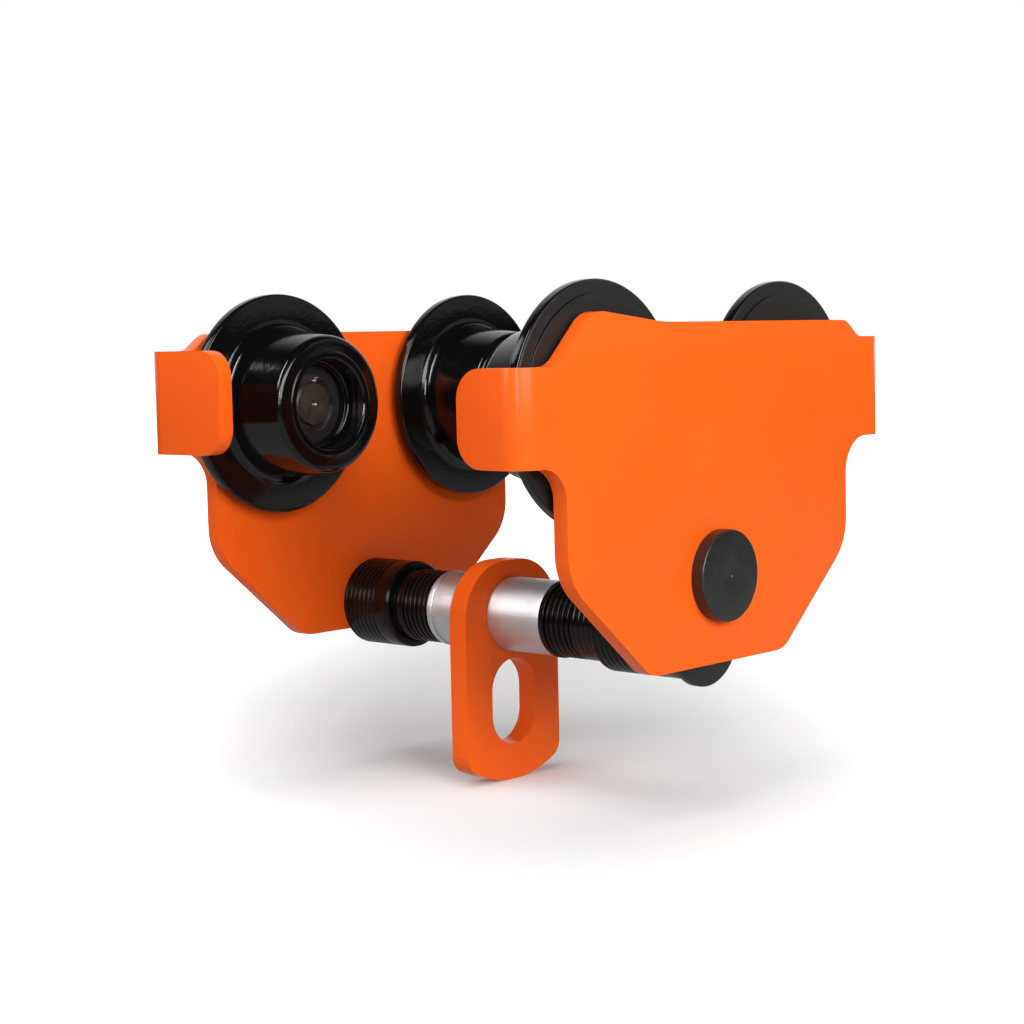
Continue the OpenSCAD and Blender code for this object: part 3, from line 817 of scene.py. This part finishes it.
sleeve = ring("sleeve_bright", sleeve_low, sleeve_high, sleeve_r)
washer_left = ring("washer_left_bright", washer_left_low, washer_left_high, washer_r)
washer_right = ring("washer_right_dark", washer_right_low, washer_right_high, washer_r)
dress(sleeve, "centre", bright, "centre_sleeve")
dress(washer_left, "centre", bright, "sleeve_washer_left")
dress(washer_right, "centre", oxide, "sleeve_washer_right")

# %% Plug
head_r = (plug_high.z - plug_low.z) / 2
shank_r = 12
plate_out = ends("side_plate_right")[1].x
# The lathe's centre mark: its radius at the face, its radius at the foot and its depth
mark_r, foot_r, mark_depth = 1.1, 0.5, 0.5
plug = turned("plug_head", soften([
    (plug_low.x, 0, 0),
    (plug_low.x, shank_r, 0.4),
    (plate_out, shank_r, 0),
    (plate_out, head_r, 0.3),
    (plug_high.x, head_r, 0.7),
    (plug_high.x, mark_r, 0.2),
    (plug_high.x - mark_depth, foot_r, 0),
    (plug_high.x - mark_depth, 0, 0),
], closed=False), plug_axis, closed=False)
dress(plug, "right_side", plug_black, "drive_hole_plug")

# %% [markdown]
# ## CAD nodes that stay
# Races, balls, cages, seals, axles and circlips already have the right shape, so they keep
# their CAD meshes and only get a finish. Each is found by the beginning of its name, and
# the longer beginning comes first, so that a circlip on an axle isn't taken for the axle.

# %% Finishes for the CAD nodes
finishes = {
    "axle_clip": clip_black,
    "bore_clip": clip_black,
    "axle": turned_steel,
    "bush_pin": turned_steel,
    "inner_race": race_steel,
    "outer_race": race_steel,
    "balls": race_steel,
    "seals": rubber,
    "cage": cage_steel,
}
for node_name, node in frame["nodes"].items():
    if not node.hide_render:
        kind = next(k for k in finishes if node_name.startswith(k))
        wear(node, finishes[kind])
print("CAD nodes shown", sum(not n.hide_render for n in frame["nodes"].values()))

# %% [markdown]
# ## Studio
# The photograph is a catalogue shot on white: the floor burns out to pure white, a soft
# shadow stays under the load hanger, and black parts show narrow highlights. A floor that
# is really so bright would light every piece from below and wash the blacks out. So what a
# surface looks like depends on who asks: the camera sees a white floor with a soft shade,
# a mirror sees a grey one that ends nearby, and scattered light sees a dim one. The floor
# glows for all three. For the camera the glow is painted full white away from the trolley
# and weak at the shade's middle, so the lamps' own shadow shows only there and the shade is
# partly cast, partly painted. For mirrors the grey floor is a painted reflection, and for
# scattered light a faint glow is painted bounce light from below. The shade lies askew
# under the trolley, along the camera's line of sight, so the plane is turned.

# %% Floor
# The camera stands this far round the trolley and looks ahead; shade and backdrop follow it
AZIMUTH = math.radians(42.53)
AHEAD = Vector((-math.sin(AZIMUTH), math.cos(AZIMUTH), 0))
# Middle of the shade on the floor, where the floor's painted glow is weakest, in metres
SHADE = (-0.08, 0.09)
bpy.ops.mesh.primitive_plane_add(size=16, location=(*SHADE, cad_low.z), rotation=(0, 0, AZIMUTH))
floor = bpy.context.object
floor.name = "studio_floor"
pale, tree, shader, place = new_material("studio_floor", (0.8, 0.8, 0.8), 0, Roughness=0.9)
# The floor glows white of itself, painted light; the strength of the glow is set below
shader.inputs["Emission Color"].default_value = (1, 1, 1, 1)


def painted_glow_ramp(tree, squash, near, far, inside, outside):
    """Eases the floor's painted glow from the value inside to the one outside, between two
    distances from the shade's middle in metres. squash stretches the painted shade in depth."""
    narrow = add(tree, "ShaderNodeVectorMath", operation="MULTIPLY", in_1=(1, squash, 0))
    distance = add(tree, "ShaderNodeVectorMath", operation="LENGTH")
    rise = add(tree, "ShaderNodeMapRange", interpolation_type="SMOOTHSTEP")
    tree.links.new(place, narrow.inputs[0])
    tree.links.new(narrow.outputs[0], distance.inputs[0])
    tree.links.new(distance.outputs["Value"], rise.inputs["Value"])
    limits = {"From Min": near, "From Max": far, "To Min": inside, "To Max": outside}
    for label, value in limits.items():
        rise.inputs[label].default_value = value
    return rise.outputs["Result"]


# %% What the camera, a mirror and scattered light see of the floor, with the glow painted into each
# For the camera the glow is weak at the shade's middle and full further out: painted shade, which
# lets the lamps' own shadow show only under the trolley
tree.links.new(painted_glow_ramp(tree, 0.3, 0.06, 0.34, 0.05, 1.0), shader.inputs["Emission Strength"])
dim = add(tree, "ShaderNodeBsdfPrincipled")
dim.inputs["Base Color"].default_value = (0.25, 0.25, 0.25, 1)
dim.inputs["Roughness"].default_value = 0.9
# Scattered light sees the dim floor glow faintly: painted bounce light from below
dim.inputs["Emission Color"].default_value = (1, 1, 1, 1)
dim.inputs["Emission Strength"].default_value = 0.2
# Mirrors see the floor only as a glow, grey near the trolley and fading further out: a painted
# reflection of a floor
painted_floor_reflection = add(tree, "ShaderNodeEmission")
tree.links.new(painted_glow_ramp(tree, 1.0, 0.45, 1.4, 0.42, 0.02), painted_floor_reflection.inputs["Strength"])


def by_ray(tree, output, base, **rays):
    """Shades by the kind of ray: base for all rays, then another shader for each named kind."""
    path = add(tree, "ShaderNodeLightPath")
    for kind, shade in rays.items():
        choose = add(tree, "ShaderNodeMixShader")
        tree.links.new(path.outputs[f"Is {kind} Ray"], choose.inputs[0])
        tree.links.new(base, choose.inputs[1])
        tree.links.new(shade, choose.inputs[2])
        base = choose.outputs[0]
    tree.links.new(base, tree.nodes[output].inputs["Surface"])


by_ray(tree, "Material Output", dim.outputs[0],
       Glossy=painted_floor_reflection.outputs[0], Camera=shader.outputs[0])
wear(floor, pale)

# %% [markdown]
# ## Surroundings
# The same idea serves the world: white for the camera, nearly black for scattered light, and
# for mirrors a white backdrop that stands only behind the trolley, as the paper does in a
# studio. That gives the wheels their thin pale rims against the white.

# %% World
world = bpy.data.worlds.new("studio")
bpy.context.scene.world = world
world.use_nodes = True
tree = world.node_tree
plain = tree.nodes["Background"]
plain.inputs["Color"].default_value = (0.02, 0.02, 0.02, 1)
white = add(tree, "ShaderNodeBackground")
white.inputs["Color"].default_value = (1, 1, 1, 1)
backdrop = add(tree, "ShaderNodeBackground")
backdrop.inputs["Color"].default_value = (1, 1, 1, 1)
towards = add(tree, "ShaderNodeVectorMath", operation="DOT_PRODUCT", in_1=AHEAD)
fade = add(tree, "ShaderNodeMapRange", interpolation_type="SMOOTHSTEP")
# Cosines of the angle from straight ahead at which the backdrop starts and is full
fade.inputs["From Min"].default_value = 0.3
fade.inputs["From Max"].default_value = 0.8
tree.links.new(add(tree, "ShaderNodeTexCoord").outputs["Generated"], towards.inputs[0])
tree.links.new(towards.outputs["Value"], fade.inputs["Value"])
tree.links.new(fade.outputs["Result"], backdrop.inputs["Strength"])
by_ray(tree, "World Output", plain.outputs[0], Glossy=backdrop.outputs[0], Camera=white.outputs[0])

# %% [markdown]
# ## Lights
# One large light from the right makes the near plate glow. The soft ones in front, on the
# left, above and behind fill the rest, and a wide sun gives the shade under the hanger.
# Highlights are set apart from brightness: lights that only mirrors see draw the long arcs
# on the wheels, the bright band on the sleeve and the pale ribs of the far barrel, without
# making the paint any paler.


# %% Lights
def softbox(name, place, width, height, power):
    """An area light at a place in metres that looks at the middle of the trolley."""
    bpy.ops.object.light_add(type="AREA", location=place)
    lamp = bpy.context.object
    lamp.name = name
    lamp.data.shape = "RECTANGLE"
    lamp.data.size, lamp.data.size_y = width, height
    lamp.data.energy = power
    lamp.rotation_euler = Vector(place).to_track_quat("Z", "Y").to_euler()
    lamp.visible_camera = False
    return lamp


# Name, place, width and height in metres, power in watts
softbox("key_right", (1.57, -0.4, 0.55), 1.4, 0.8, 30)
for name, place, width, height, power in (
    ("front_left", (-1.15, -1.25, 0.75), 0.7, 1.7, 3.5),
    ("front", (-0.3, -1.6, 0.35), 0.6, 0.9, 1.5),
    ("top", (0, -0.2, 1.5), 0.9, 0.9, 6),
):
    softbox(name, place, width, height, power).visible_glossy = False
for name, place, width, height, power in (
    ("shine_left", (-1.12, -0.75, 1.02), 0.5, 0.5, 2.2),
    ("shine_front", (-0.1, -1.3, 1.0), 0.3, 1.6, 22),
    ("shine_low", (-0.35, -1.5, 0.5), 0.8, 0.6, 4.5),
    ("shine_ribs", (0.78, -0.98, 0.28), 0.15, 0.5, 4.5),
):
    shine = softbox(name, place, width, height, power)
    shine.visible_diffuse = False
    shine.data.shape = "ELLIPSE"
softbox("back_right", (1.1, 1.2, 0.7), 0.9, 0.9, 1.0)

# %% Wide sun
sunward = Vector((0.16, -0.60, 0.79))
bpy.ops.object.light_add(type="SUN", location=(0, 0, 2))
overhead = bpy.context.object
overhead.name = "overhead"
overhead.data.energy = 1.9
overhead.data.angle = math.radians(80)
overhead.rotation_euler = sunward.to_track_quat("Z", "Y").to_euler()
overhead.visible_glossy = False
bpy.context.scene.view_settings.view_transform = "Standard"

# %% [markdown]
# ## Camera
# The camera was worked out from the photograph: the plates' outlines and the wheels' rims
# fix its place, direction and lens. It leans a little, as the photograph does.

# %% Camera
elevation, roll = math.radians(4.75), math.radians(-1.26)
level = Vector((math.cos(AZIMUTH), math.sin(AZIMUTH), 0))
back = Vector((0, 0, math.sin(elevation))) - math.cos(elevation) * AHEAD
upward = back.cross(level)
right = math.cos(roll) * level + math.sin(roll) * upward
up = -math.sin(roll) * level + math.cos(roll) * upward
bpy.ops.object.camera_add(location=Vector((612.73, -677.51, 59.05)) * MM)
camera = bpy.context.object
turn = Matrix((right, up, back)).transposed().to_4x4()
camera.matrix_world = Matrix.Translation(camera.location) @ turn
camera.data.sensor_width = 36
camera.data.lens = 71.18
camera.data.clip_start = 0.01
camera.data.clip_end = 50
bpy.context.scene.camera = camera
